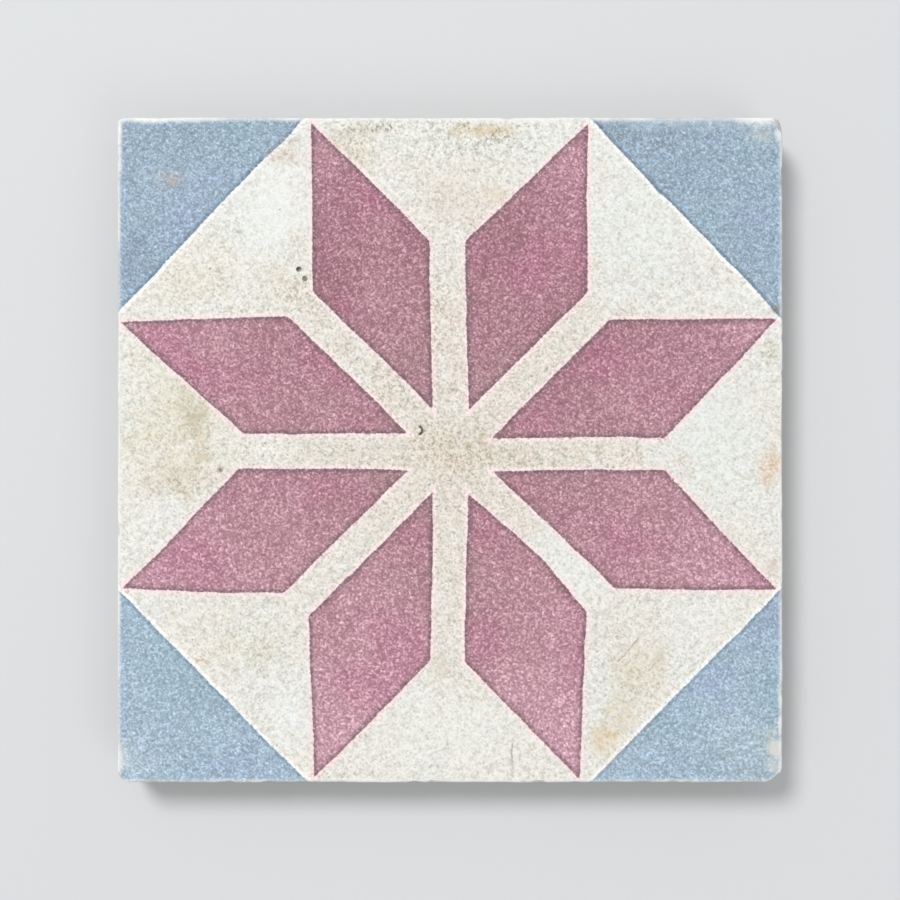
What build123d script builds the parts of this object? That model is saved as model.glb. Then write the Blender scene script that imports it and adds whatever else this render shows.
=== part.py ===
"""Pressed cement floor tile with an eight-pointed star, modelled in millimetres.

The tile lies on its back on the floor: +Z points up through the wearing face, +X and +Y run along
the sides, and the origin is the middle of the back.  The star is flush.  Its petals and the corner
triangles are coloured mortar poured into the cells of a divider, so each one is a face of its own
in the top of the single solid, as deep as the colour goes.
"""

from build123d import *
from build123d.topology import SkipClean
from math import radians, sqrt, tan
import os

# Body of the tile
tile_side = 200.0
tile_thickness = 20.0
plan_corner_radius = 2.0
top_arris_radius = 0.8
back_edge_chamfer = 1.2

# Keyed recess in the back, which leaves a rim all round for the bed
back_rim_width = 22.0
back_recess_depth = 1.5
back_recess_corner_radius = 12.0
back_recess_wall_angle = 45.0

# Star and corner triangles, cut by the divider
colour_depth = 4.0
channel_width = 10.0
star_edge_inset = 1.0
triangle_tip_gap = 1.2

# Places worked out from the sizes above
half_side = tile_side / 2
half_channel = channel_width / 2
octagon_half_face = half_side * tan(radians(22.5))
octagon_corner_leg = half_side - octagon_half_face
diagonal_channel_rise = half_channel * sqrt(2)
star_edge_rise = octagon_corner_leg - star_edge_inset * sqrt(2)
triangle_leg = octagon_corner_leg - triangle_tip_gap
back_recess_side = tile_side - 2 * back_rim_width

# The pair of petals that points at the +Y side, one each side of the upright channel.  Each is a
# rhomb between the upright channel, the diagonal channel, the octagon's line and the star's edge.
with BuildSketch() as petal_pair:
    with BuildLine() as petal_outline:
        Polyline(
            (half_channel, half_channel + diagonal_channel_rise),
            (octagon_half_face, octagon_half_face + diagonal_channel_rise),
            (octagon_half_face, octagon_half_face + star_edge_rise),
            (half_channel, half_channel + star_edge_rise),
            close=True,
        )
    make_face()
    mirror(about=Plane.YZ)

# The triangle that fills the corner at +X and +Y
with BuildSketch() as corner_triangle:
    with BuildLine() as triangle_outline:
        Polyline(
            (half_side, half_side),
            (half_side - triangle_leg, half_side),
            (half_side, half_side - triangle_leg),
            close=True,
        )
    make_face()

# All twelve cells of the divider, seen from above
with BuildSketch(Plane.XY.offset(tile_thickness)) as divider_cells:
    with PolarLocations(0, 4):
        add(petal_pair.sketch)
        add(corner_triangle.sketch)

# The tile as it leaves the press, with its arrises eased and its back keyed
with BuildPart() as pressed_tile:
    with BuildSketch():
        RectangleRounded(tile_side, tile_side, plan_corner_radius)
    extrude(amount=tile_thickness)
    fillet(pressed_tile.faces().sort_by(Axis.Z)[-1].edges(), radius=top_arris_radius)
    chamfer(pressed_tile.faces().sort_by(Axis.Z)[0].edges(), length=back_edge_chamfer)
    with BuildSketch():
        RectangleRounded(back_recess_side, back_recess_side, back_recess_corner_radius)
    extrude(amount=back_recess_depth, taper=back_recess_wall_angle, mode=Mode.SUBTRACT)

# The rose and blue mortar in the cells, which takes the tile's own outline where it meets the side
with BuildPart() as cell_mortar:
    add(pressed_tile.part)
    extrude(divider_cells.sketch, amount=-colour_depth, mode=Mode.INTERSECT)

# One solid: the cells are filled flush, and their outlines stay as edges in its faces
with BuildPart() as tile:
    add(pressed_tile.part)
    add(cell_mortar.part, mode=Mode.SUBTRACT)
    with SkipClean():
        add(cell_mortar.part)
tile.part.label = "tile"

os.makedirs("parts", exist_ok=True)
export_step(tile.part, "parts/tile.step")
print("tile", len(tile.part.solids()), "solid,", len(tile.part.faces()), "faces")
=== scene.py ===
# A pressed cement tile with an eight-pointed star. It lies on its back and is seen from above.
# Lengths are in millimetres here, and become metres where they go into a mesh or a light.
import math
import random
import bpy
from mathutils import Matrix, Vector, noise
from mathutils.geometry import delaunay_2d_cdt


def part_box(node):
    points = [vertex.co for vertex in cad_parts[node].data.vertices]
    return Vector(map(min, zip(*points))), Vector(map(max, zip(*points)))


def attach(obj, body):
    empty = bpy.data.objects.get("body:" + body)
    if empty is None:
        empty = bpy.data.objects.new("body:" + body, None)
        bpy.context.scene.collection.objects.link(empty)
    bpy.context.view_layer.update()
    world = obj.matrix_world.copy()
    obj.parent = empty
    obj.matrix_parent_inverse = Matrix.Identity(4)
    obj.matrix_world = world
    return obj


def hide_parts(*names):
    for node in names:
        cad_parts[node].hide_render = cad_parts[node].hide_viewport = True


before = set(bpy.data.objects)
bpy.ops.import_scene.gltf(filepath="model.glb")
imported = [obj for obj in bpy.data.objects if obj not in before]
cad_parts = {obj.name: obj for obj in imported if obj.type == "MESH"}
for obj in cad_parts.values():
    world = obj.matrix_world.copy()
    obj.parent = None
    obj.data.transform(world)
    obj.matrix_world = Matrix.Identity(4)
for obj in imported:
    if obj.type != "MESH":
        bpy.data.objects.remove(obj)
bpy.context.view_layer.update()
mm = 0.001
tileLow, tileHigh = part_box("tile")
tileHalf = (tileHigh.x - tileLow.x) / 2 / mm
tileTop = tileHigh.z / mm
print("frame: tile", round(tileHalf * 2, 2), "mm square,", round(tileTop, 2), "mm thick")


# Camera, straight above the middle of the tile with +Y up in the picture
cameraPlan = {
    "lens": 60.0,
    "sensor": 36.0,
    "tileShare": 0.74,       # part of the picture's width that the tile takes
}


def addCamera():
    data = bpy.data.cameras.new("camera")
    data.lens = cameraPlan["lens"]
    data.sensor_width = cameraPlan["sensor"]
    data.clip_start = 0.01
    camera = bpy.data.objects.new("camera", data)
    bpy.context.collection.objects.link(camera)
    shownWidth = 2 * tileHalf / cameraPlan["tileShare"]
    height = tileTop + shownWidth * cameraPlan["lens"] / cameraPlan["sensor"]
    camera.location = (0, 0, height * mm)
    bpy.context.scene.camera = camera


addCamera()
print("camera placed")


def toLinear(hexCode):
    # an sRGB hex code as a linear colour
    values = []
    for start in (1, 3, 5):
        share = int(hexCode[start:start + 2], 16) / 255
        values.append(share / 12.92 if share <= 0.04045 else ((share + 0.055) / 1.055) ** 2.4)
    return (*values, 1.0)


def readMarks(tones, rows):
    # rows of zones or stains as marks with linear colours
    marks = []
    for middle, reach, tone, share, *grain in rows:
        colour = toLinear(tones[tone])[:3]
        marks.append({"at": middle, "reach": reach, "linear": colour, "share": share, "grain": grain})
    return marks


# The drawing: corners of each patch of colour, anticlockwise, as the divider left them
starPatches = {
    "rose": {
        "northWest": [(-42.2, 98.6), (-41.0, 47.9), (-4.9, 12.2), (-5.8, 62.6)],
        "northEast": [(41.2, 98.2), (4.8, 62.6), (5.9, 12.0), (41.3, 47.6)],
        "westNorth": [(-99.2, 38.8), (-62.3, 4.6), (-12.6, 5.0), (-48.8, 40.4)],
        "eastNorth": [(98.9, 39.1), (47.6, 39.3), (12.4, 3.8), (64.6, 3.8)],
        "westSouth": [(-98.8, -42.0), (-49.7, -43.1), (-12.6, -6.0), (-63.2, -5.6)],
        "eastSouth": [(98.4, -41.8), (64.4, -5.9), (12.8, -6.1), (31.2, -24.4), (49.3, -41.7)],
        "southWest": [(-40.8, -98.4), (-5.6, -63.4), (-5.2, -12.6), (-42.4, -50.2)],
        "southEast": [(39.2, -99.0), (41.0, -48.6), (28.7, -33.8), (5.3, -12.8), (4.4, -64.0)],
    },
    "blue": {
        "northWest": [(-43.0, 101.0), (-101.0, 101.0), (-101.0, 40.4)],
        "northEast": [(101.0, 37.8), (101.0, 101.0), (40.8, 101.0)],
        "southWest": [(-101.0, -41.2), (-101.0, -101.0), (-41.2, -101.0)],
        "southEast": [(41.0, -101.0), (101.0, -101.0), (101.0, -40.2)],
    },
}

drawnEdge = {
    "seed": 7,
    "handWander": 0.70,      # how far the divider's strips bend
    "handSpan": 34.0,        # over this length
    "smallWander": 0.30,     # and the same for small bends
    "smallSpan": 7.0,
    "tipRounding": 0.8,
    "farAway": 12.0,         # distances past this one aren't worked out
}
noise.seed_set(drawnEdge["seed"])   # without it the bends would differ from run to run

# Tones that the cream and the blue paste drift to
pasteTones = {
    "trodden": "#e3dacf",
    "worn": "#dad0bd",
    "grey": "#e3e3dc",
    "yellowed": "#e3decc",
    "smooth": "#eeede6",
    "cool": "#e9ece8",
    "bright": "#eff2ef",
    "deepBlue": "#8699ad",
    "dullBlue": "#8fa1ac",
    "paleBlue": "#bccbd5",
}

# Where the cream paste differs: middle, reach, tone, share, and how much of its grain shows there
pasteZones = readMarks(pasteTones, [
    ((0.0, 0.0), (85.0, 85.0), "trodden", 0.85, 1.0),
    ((1.0, 0.0), (22.0, 11.0), "worn", 0.32, 1.0),
    ((34.0, -0.5), (26.0, 5.5), "worn", 0.25, 1.0),
    ((-36.0, -0.5), (13.0, 5.0), "worn", 0.25, 1.0),
    ((-55.0, -0.5), (9.0, 5.0), "smooth", 0.70, 0.9),
    ((-43.0, 44.0), (9.0, 8.0), "trodden", 0.55, 1.2),
    ((2.0, 75.0), (15.0, 8.0), "trodden", 0.80, 0.8),
    ((-30.0, 90.0), (10.0, 9.0), "yellowed", 0.50, 1.0),
    ((6.0, 92.0), (24.0, 7.0), "grey", 0.95, 1.2),
    ((-83.0, 8.0), (20.0, 24.0), "yellowed", 0.85, 0.8),
    ((-93.0, -24.0), (9.0, 12.0), "smooth", 0.80, 0.6),
    ((-53.0, 72.0), (13.0, 20.0), "bright", 0.85, 0.2),
    ((-52.0, 49.0), (11.0, 8.0), "yellowed", 0.45, 0.8),
    ((-78.0, 50.0), (16.0, 7.0), "yellowed", 0.50, 0.9),
    ((57.0, 68.0), (23.0, 31.0), "cool", 0.95, 0.5),
    ((80.0, 6.0), (18.0, 26.0), "cool", 0.90, 0.45),
    ((86.0, 47.0), (11.0, 6.0), "bright", 0.60, 0.4),
    ((-60.0, -58.0), (15.0, 11.0), "yellowed", 0.40, 0.9),
    ((-48.0, -80.0), (8.0, 13.0), "bright", 0.85, 0.4),
    ((56.0, -70.0), (10.0, 12.0), "yellowed", 0.50, 0.6),
    ((78.0, -52.0), (16.0, 9.0), "smooth", 0.75, 0.5),
    ((0.0, -84.0), (32.0, 18.0), "smooth", 0.90, 0.5),
    ((36.0, -36.0), (18.0, 18.0), "bright", 0.75, 0.4),
])

# and where the blue paste differs: middle, reach, tone and share
blueZones = readMarks(pasteTones, [
    ((-95.0, 58.0), (8.0, 12.0), "deepBlue", 0.60),
    ((-84.0, 94.0), (20.0, 6.0), "dullBlue", 0.25),
    ((52.0, 96.0), (12.0, 7.0), "dullBlue", 0.55),
    ((68.0, 84.0), (12.0, 12.0), "deepBlue", 0.20),
    ((88.0, -88.0), (13.0, 13.0), "paleBlue", 0.42),
    ((-95.0, -93.0), (9.0, 9.0), "paleBlue", 0.45),
])

stainAndHighlightTones = {
    "rust": "#d8a878",
    "ochre": "#dcc394",
    "umber": "#8c6c4a",
    "dirt": "#a5967c",
    "soot": "#7f776b",
    "olive": "#c5be9d",
    "oil": "#d2c4ac",
    "clay": "#cfac98",
    # a white painted highlight along the arrises, not a stain
    "chalk": "#f6f7f6",
    "sand": "#dddcd4",
}

markShape = {
    "raggedSpan": 6.0,       # mm, bulges in the outline of a zone or a stain
    "raggedShare": 0.45,     # how far they push it, as a part of its reach
    "fullShare": 0.1,        # a mark is at full strength inside this part of its reach
    "goneShare": 1.25,       # and gone past this one
    "leastShare": 0.001,     # weaker than this, it is left out
    "bareTone": "#c4b8a6",   # stands where there is no mark, and isn't seen
    "colourDepth": 8.0,      # mm, how far down the sides the colours are worked out
    "stainDepth": 3.0,       # mm, and the stains
    "blueMargin": 0.4,       # mm, how far past the blue its own zones count
}

# Stains that soaked in, and white painted highlights along the arrises: middle, reach, tone, and how strong
# each is in its middle
stainAndHighlightMarks = readMarks(stainAndHighlightTones, [
    ((-48.0, 89.0), (7.5, 4.6), "clay", 0.34),
    ((-46.0, 92.2), (3.6, 1.6), "dirt", 0.32),
    ((-86.0, 81.4), (7.0, 3.2), "oil", 0.26),
    ((-83.0, 80.8), (3.2, 2.2), "clay", 0.26),
    ((-31.0, 91.0), (9.0, 7.0), "olive", 0.22),
    ((-27.0, 95.8), (10.0, 2.0), "dirt", 0.26),
    ((10.0, 96.0), (12.0, 2.3), "ochre", 0.62),
    ((13.5, 94.6), (3.6, 1.6), "dirt", 0.30),
    ((13.5, 77.0), (6.0, 3.0), "ochre", 0.25),
    ((-63.5, 65.6), (1.4, 1.0), "soot", 0.45),
    ((-69.0, 54.3), (1.9, 1.5), "dirt", 0.40),
    ((-46.2, 50.6), (2.8, 2.0), "olive", 0.50),
    ((-78.0, 11.0), (5.0, 8.5), "olive", 0.55),
    ((-76.8, 8.0), (2.2, 4.8), "dirt", 0.28),
    ((-75.0, 3.5), (1.9, 2.8), "rust", 0.16),
    ((-74.5, -2.2), (4.2, 1.8), "oil", 0.55),
    ((-82.0, -9.0), (12.0, 7.5), "oil", 0.36),
    ((-68.9, -6.1), (1.1, 1.0), "soot", 0.85),
    ((6.0, 3.0), (8.0, 5.0), "oil", 0.30),
    ((-1.0, -4.0), (9.0, 5.0), "clay", 0.15),
    ((6.0, 1.2), (1.4, 1.2), "soot", 0.35),
    ((96.4, -6.0), (3.6, 9.0), "rust", 0.38),
    ((97.4, 42.4), (2.0, 1.7), "soot", 0.80),
    ((96.4, 29.5), (2.8, 3.6), "olive", 0.50),
    ((96.5, -34.5), (3.0, 3.4), "clay", 0.50),
    ((46.2, -87.0), (6.0, 6.4), "ochre", 0.52),
    ((50.5, -79.0), (6.5, 8.0), "ochre", 0.35),
    ((56.0, -65.0), (12.0, 8.0), "ochre", 0.22),
    ((63.0, -61.0), (6.0, 5.0), "oil", 0.22),
    ((-57.5, -62.5), (5.5, 6.5), "olive", 0.22),
    ((-3.0, -65.0), (4.0, 5.0), "olive", 0.35),
    # the chalk-white marks along the arrises below are painted highlights
    ((93.0, 99.2), (8.0, 2.2), "chalk", 0.95),
    ((98.8, 95.0), (1.5, 4.0), "chalk", 0.80),
    ((97.4, -91.5), (3.6, 8.5), "sand", 0.80),
    ((99.3, -80.0), (0.9, 20.0), "chalk", 0.70),
    ((-88.0, 99.3), (16.0, 1.3), "chalk", 0.90),
    ((-99.4, 94.0), (1.1, 10.0), "chalk", 0.85),
    ((-98.6, -92.0), (3.2, 7.0), "chalk", 0.40),
    ((94.0, 95.0), (6.0, 4.0), "sand", 0.35),
])

# Dirt caught between the grains, which shows as specks, and a painted highlight along the top arris, in the
# same order
speckAndHighlightMarks = readMarks(stainAndHighlightTones, [
    ((-22.0, 96.4), (9.0, 2.2), "umber", 0.60),
    ((-31.5, 91.0), (9.0, 6.0), "dirt", 0.38),
    ((-49.0, 89.0), (8.0, 5.0), "umber", 0.22),
    ((-84.0, 81.0), (5.5, 3.2), "soot", 0.14),
    ((15.0, 94.6), (3.8, 1.9), "umber", 0.85),
    ((5.0, 96.6), (5.0, 1.7), "umber", 0.40),
    ((95.6, -5.6), (3.8, 8.0), "rust", 0.55),
    ((95.5, 29.5), (3.0, 4.0), "dirt", 0.50),
    ((90.0, -98.0), (6.0, 2.4), "dirt", 0.30),
    ((-74.5, -62.6), (2.6, 2.0), "rust", 0.70),
    ((-57.5, -62.0), (6.0, 8.0), "dirt", 0.24),
    ((-76.5, 8.0), (4.5, 9.0), "dirt", 0.35),
    ((-80.0, -9.0), (12.0, 7.0), "dirt", 0.35),
    ((2.0, 0.0), (20.0, 10.0), "dirt", 0.36),
    ((-5.0, 42.0), (6.0, 20.0), "dirt", 0.36),
    ((46.6, -86.0), (5.0, 6.0), "rust", 0.30),
    ((56.0, -67.0), (11.0, 9.0), "dirt", 0.20),
    ((40.0, -2.0), (26.0, 4.0), "dirt", 0.25),
    ((-20.0, 20.0), (14.0, 14.0), "dirt", 0.18),
    ((-46.0, 49.0), (7.0, 7.0), "dirt", 0.30),
    ((0.0, 97.5), (40.0, 1.6), "dirt", 0.35),
    # painted highlight along the top arris, laid on the pale specks
    ((70.0, 98.0), (22.0, 2.6), "chalk", 0.45),
    ((66.0, 93.0), (14.0, 5.0), "soot", 0.22),
])

# Fine lines in the face: points along each, width and depth
faceLines = [
    {"points": [(18.9, -86.5), (18.5, -91.0), (18.9, -95.5), (18.4, -99.4)], "width": 0.40,
     "depth": 0.05, "colour": "#8a8579", "share": 0.70},
    {"points": [(50.4, -63.4), (52.2, -62.0), (54.4, -59.2), (56.8, -56.2)], "width": 0.42,
     "depth": 0.06, "colour": "#97866e", "share": 0.70},
    {"points": [(-75.0, -0.4), (-73.4, 0.9), (-71.4, -0.6), (-70.6, -2.8)], "width": 0.36,
     "depth": 0.03, "colour": "#a98f6b", "share": 0.50},
]

# Air holes in the face, painted dark inside as painted shade. One has a plug of cement left in it, and only
# its right side stayed open
airHoles = [
    {"at": (-45.4, 54.3), "radius": 0.85, "depth": 1.20, "colour": "#2f2c28", "share": 0.95,
     "plug": 0.0, "rightOnly": False},
    {"at": (-43.6, 51.5), "radius": 0.85, "depth": 0.40, "colour": "#786a58", "share": 0.80,
     "plug": 0.0, "rightOnly": False},
    {"at": (-9.5, 5.9), "radius": 1.55, "depth": 0.55, "colour": "#46402f", "share": 0.95,
     "plug": 0.90, "rightOnly": True},
]

pinHoles = {
    "seed": 11,
    "count": 16,
    "radius": (0.20, 0.36),
    "within": 88.0,          # mm, from the middle along X and Y
    "apart": 8.0,            # mm, from one another
    "clearance": 1.5,        # mm, from a patch of colour
    # painted shade inside the pin holes
    "colour": "#857b6c",
    "share": 0.55,
}

# The tile's mesh
tileForm = {
    "planRadius": 2.0,
    "arrisRadius": 0.8,
    "backChamfer": 1.2,
    "rimWidth": 22.0,
    "recessDepth": 1.5,
    "recessRadius": 12.0,
    # rings of points: in from the side on the face, round the arris, down the side, over the rim
    "faceInsets": (7.0, 5.6, 4.5, 3.6, 2.8, 2.1, 1.6, 1.15),
    "arrisTurns": (0, 18, 36, 54, 72, 90),
    "sideHeights": (18.6, 17.8, 16.8, 15.6, 14.2, 12.4, 10.4, 8.2, 6.0, 4.0, 2.4),
    "rimShares": (0, 0.1, 0.35, 0.7, 1),
    "sideSteps": 392,        # points along a side
    "pointGap": 0.5,         # about this far apart
    "cornerSteps": 8,
    "facePitch": 1.35,       # points inside the rings
    "cornerPitch": 0.5,      # at the corners of the patches
    "cornerReach": 2.2,
    "backPitch": 3.2,
    "faceSway": 0.07,        # how much the pressed face dips
    "swaySpan": 42.0,        # over this length
    "backSway": 0.1,         # and the recess of the back
    "rimSway": 0.12,
    "creaseAngle": 34,
}

edgeWear = {
    "seed": 20,
    "stray": 0.24,           # how far the sides wander inwards
    "straySpan": 23.0,       # over this length
    "smallStraySpan": 4.5,   # with smaller bends over this one
    "strayReach": 4.0,       # how far in from the side a point still moves
    "sideGrit": 0.13,
    "gritSpan": 1.3,
    # small chips, and long shallow scallops, on each side
    "chips": {"east": 34, "north": 20, "west": 20, "south": 44},
    "scallops": {"east": 10, "north": 3, "west": 3, "south": 15},
    "chipRadius": (0.6, 2.0),
    "scallopRadius": (3.0, 6.5),
    "scallopBite": (0.25, 0.62),
    "scallopTilt": (0.25, 0.8),
    "scallopDepth": 10.0,    # how far down the side one may reach
    "chipStand": (0.62, 0.9),   # how far out its ball stands, in its own radius
    "chipTilt": (0.35, 0.9),
    "chipDepth": 5.0,
    "backChips": 40,
    "backChipRadius": (0.9, 2.4),
    "cornerReach": 12.0,     # how far from a corner its break may come
    # which corner, how the break leans between X and Y, how much it cuts off, how deep it runs
    "corners": [
        {"signs": (1, -1), "lean": (1.0, 1.15), "cut": 4.8, "drop": 9.0},
        {"signs": (1, -1), "lean": (1.0, 2.6), "cut": 6.2, "drop": 8.0},
        {"signs": (1, -1), "lean": (2.6, 1.0), "cut": 5.4, "drop": 8.0},
        {"signs": (-1, -1), "lean": (1.0, 0.9), "cut": 3.2, "drop": 6.0},
        {"signs": (-1, 1), "lean": (1.0, 1.0), "cut": 1.7, "drop": 3.5},
        {"signs": (1, 1), "lean": (1.0, 0.45), "cut": 2.9, "drop": 4.0},
    ],
    # how far in each arris is painted pale, as rubbed wear with a painted highlight on it, and how pale, in
    # patches
    "rubbedHighlightReach": {"east": 1.6, "north": 1.9, "west": 1.6, "south": 1.7},
    "rubbedHighlightShare": {"east": 1.0, "north": 1.0, "west": 0.95, "south": 0.90},
    "rubbedHighlightSpan": 8.0,
    "rubbedHighlightLeast": 0.55,
}

quarterSteps = tileForm["sideSteps"] + tileForm["cornerSteps"]
ringSteps = 4 * quarterSteps


def smoothStep(low, high, value):
    share = min(1, max(0, (value - low) / (high - low)))
    return share * share * (3 - 2 * share)


def sidesOf(corners):
    # each side of a patch as the line that its distance is measured from
    sides = []
    for start, end in zip(corners, corners[1:] + corners[:1]):
        length = math.dist(start, end)
        outX = (end[1] - start[1]) / length
        outY = (start[0] - end[0]) / length
        sides.append((outX, outY, outX * start[0] + outY * start[1]))
    return sides


def distanceOutside(x, y, sides):
    # how far a spot lies outside a convex patch, and below zero inside it; corners come out rounded
    rounding = drawnEdge["tipRounding"]
    furthest = -math.inf
    for outX, outY, offset in sides:
        side = outX * x + outY * y - offset
        overlap = max(rounding - abs(furthest - side), 0) / rounding
        furthest = max(furthest, side) + overlap ** 3 * rounding / 6
    return furthest


patchSides = {
    colour: [sidesOf(corners) for corners in patches.values()] for colour, patches in starPatches.items()}


def drawnDistances(x, y):
    # distances from the nearest rose patch and the nearest blue one, in the hand-made drawing
    wide = drawnEdge["handSpan"]
    narrow = drawnEdge["smallSpan"]
    bend = noise.noise_vector(Vector((x / wide, y / wide, 1.7))) * drawnEdge["handWander"]
    bend += noise.noise_vector(Vector((x / narrow, y / narrow, 8.3))) * drawnEdge["smallWander"]
    distances = []
    for sides in patchSides.values():
        nearest = min(distanceOutside(x + bend[0], y + bend[1], patch) for patch in sides)
        distances.append(min(nearest, drawnEdge["farAway"]))
    return distances


def marksAt(x, y, marks):
    # the colour of the marks that lie over a spot, and how much of it shows
    span = markShape["raggedSpan"]
    warp = noise.noise_vector(Vector((x / span, y / span, 4.4))) * markShape["raggedShare"]
    colour = Vector(toLinear(markShape["bareTone"])[:3])
    share = 0.0
    for mark in marks:
        alongX = (x - mark["at"][0]) / mark["reach"][0]
        alongY = (y - mark["at"][1]) / mark["reach"][1]
        if max(abs(alongX), abs(alongY)) > markShape["goneShare"] + markShape["raggedShare"]:
            continue
        away = math.hypot(alongX + warp[0], alongY + warp[1])
        strength = mark["share"] * smoothStep(markShape["goneShare"], markShape["fullShare"], away)
        if strength <= markShape["leastShare"]:
            continue
        together = 1 - (1 - share) * (1 - strength)
        own = Vector(mark["linear"])
        colour = (colour * share * (1 - strength) + own * strength) / together
        share = together
    return (*colour, share)


# The cream's zones again, with the share of grain in place of a colour
grainZones = [{**zone, "linear": zone["grain"] * 3} for zone in pasteZones]


def scatterPinHoles():
    # small air holes in the cream
    draw = random.Random(pinHoles["seed"])
    holesLeft = pinHoles["count"]
    while holesLeft > 0:
        x = draw.uniform(-pinHoles["within"], pinHoles["within"])
        y = draw.uniform(-pinHoles["within"], pinHoles["within"])
        radius = draw.uniform(*pinHoles["radius"])
        isApart = all(math.dist((x, y), hole["at"]) > pinHoles["apart"] for hole in airHoles)
        if min(drawnDistances(x, y)) > pinHoles["clearance"] and isApart:
            airHoles.append({
                "at": (x, y), "radius": radius, "depth": radius, "plug": 0.0, "rightOnly": False,
                "colour": pinHoles["colour"], "share": pinHoles["share"]})
            holesLeft -= 1


def ringPoint(index, inset, cornerRadius):
    # one point of a rounded square, anticlockwise from the lower end of the +X side
    quarter, step = divmod(index, quarterSteps)
    reach = tileHalf - inset
    straight = reach - cornerRadius
    if step <= tileForm["sideSteps"]:
        x, y = reach, straight * (2 * step / tileForm["sideSteps"] - 1)
    else:
        turn = math.radians(90 * (step - tileForm["sideSteps"]) / tileForm["cornerSteps"])
        x = straight + cornerRadius * math.cos(turn)
        y = straight + cornerRadius * math.sin(turn)
    for _ in range(quarter):
        x, y = -y, x
    return x, y


def tileStations():
    # inset, height and corner radius of each ring, from the face over the side to the back
    arris = tileForm["arrisRadius"]
    plan = tileForm["planRadius"]
    chamfer = tileForm["backChamfer"]
    stations = []
    for inset in tileForm["faceInsets"]:
        stations.append((inset, tileTop, plan - arris + 0.5 * (inset - arris)))
    for turn in tileForm["arrisTurns"]:
        inset = arris * (1 - math.sin(math.radians(turn)))
        height = tileTop - arris * (1 - math.cos(math.radians(turn)))
        stations.append((inset, height, plan - inset))
    for height in tileForm["sideHeights"]:
        stations.append((0, height, plan))
    stations.append((0, chamfer, plan))
    stations.append((chamfer * 0.5, chamfer * 0.5, plan))
    rim = tileForm["rimWidth"]
    for share in tileForm["rimShares"]:
        inset = chamfer + (rim - chamfer) * share
        stations.append((inset, 0, plan + (tileForm["recessRadius"] - plan) * share))
    for share in (0.5, 1):
        drop = tileForm["recessDepth"] * share
        stations.append((rim + drop, drop, tileForm["recessRadius"] - 0.4 * drop))
    return stations


def openShare(x, y, hole):
    # 1 where an air hole is open and 0 outside it
    away = math.dist((x, y), hole["at"])
    if away > 1.06 * hole["radius"]:
        return 0.0
    share = smoothStep(1.05, 0.88, away / hole["radius"])
    if hole["plug"]:
        share *= smoothStep(0.8, 1.15, away / hole["plug"])
    if hole["rightOnly"]:
        share *= smoothStep(-0.08, 0.3, (x - hole["at"][0]) / hole["radius"])
    return share


def faceHeight(x, y):
    # the pressed face dips a little, and has its air holes and fine lines
    span = tileForm["swaySpan"]
    dip = tileForm["faceSway"] * (0.5 + 0.5 * noise.noise(Vector((x / span, y / span, 3.1))))
    for hole in airHoles:
        away = math.dist((x, y), hole["at"]) / hole["radius"]
        bowl = math.sqrt(max(0, 1 - away ** 2))
        dip += hole["depth"] * openShare(x, y, hole) * (1 if hole["plug"] else bowl)
    for line in faceLines:
        dip += line["depth"] * lineShare(x, y, line)
    return tileTop - dip


def lineShare(x, y, line):
    # 1 on a fine line and 0 beside it
    best = 0.0
    for start, end in zip(line["points"], line["points"][1:]):
        run = Vector((end[0] - start[0], end[1] - start[1]))
        away = Vector((x - start[0], y - start[1]))
        along = min(1, max(0, away.dot(run) / run.length_squared))
        best = max(best, 1 - (away - run * along).length / line["width"])
    return best


def stainsAndPaintedLightAt(x, y):
    # stains and painted arris highlights, with the fine lines and the painted shade of the air holes over
    # them
    red, green, blue, share = marksAt(x, y, stainAndHighlightMarks)
    for line in faceLines:
        onLine = lineShare(x, y, line) * line["share"]
        if onLine > share:
            (red, green, blue, _), share = toLinear(line["colour"]), onLine
    for hole in airHoles:
        # painted shade inside the air holes
        dark = hole["share"] * openShare(x, y, hole)
        if dark > share:
            (red, green, blue, _), share = toLinear(hole["colour"]), dark
    return red, green, blue, share


def strayInwards(point):
    # the sides wander, and their mortar is gritty; nothing ever comes outwards
    bare = point.copy()
    for axis in (0, 1):
        closeness = min(1, max(0, 1 - (tileHalf - abs(bare[axis])) / edgeWear["strayReach"]))
        if closeness == 0:
            continue
        side = math.copysign(1, bare[axis])
        along = bare[1 - axis]
        wide = along / edgeWear["straySpan"]
        narrow = along / edgeWear["smallStraySpan"]
        wander = 0.5 + 0.9 * noise.noise(Vector((wide, side * 7 + axis * 3, bare[2] / 30)))
        wander += 0.4 * noise.noise(Vector((narrow, side * 5 + axis, bare[2] / 6)))
        grit = 0.5 + noise.noise(bare / edgeWear["gritSpan"])
        below = min(1, max(0, (tileTop - bare[2] - 2) / 4))
        inwards = edgeWear["stray"] * max(0, wander) * closeness
        inwards += edgeWear["sideGrit"] * max(0, grit) * closeness * below
        point[axis] -= side * inwards


def scoopChip(rings, worn, middle, centre, radius, ringSpan):
    # a chip is where a ball has taken the edge away
    window = int(radius / tileForm["pointGap"]) + 3
    for ring in ringSpan:
        for offset in range(-window, window + 1):
            index = (middle + offset) % ringSteps
            point = rings[ring][index]
            away = point - centre
            rough = radius * (1 + 0.16 * noise.noise(point * 1.7) * min(1, 1.5 / radius))
            if away.length < rough:
                moved = rough - away.length
                rings[ring][index] = centre + away.normalized() * rough
                worn[ring][index] = max(worn[ring][index], min(1, moved / 0.12))


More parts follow.
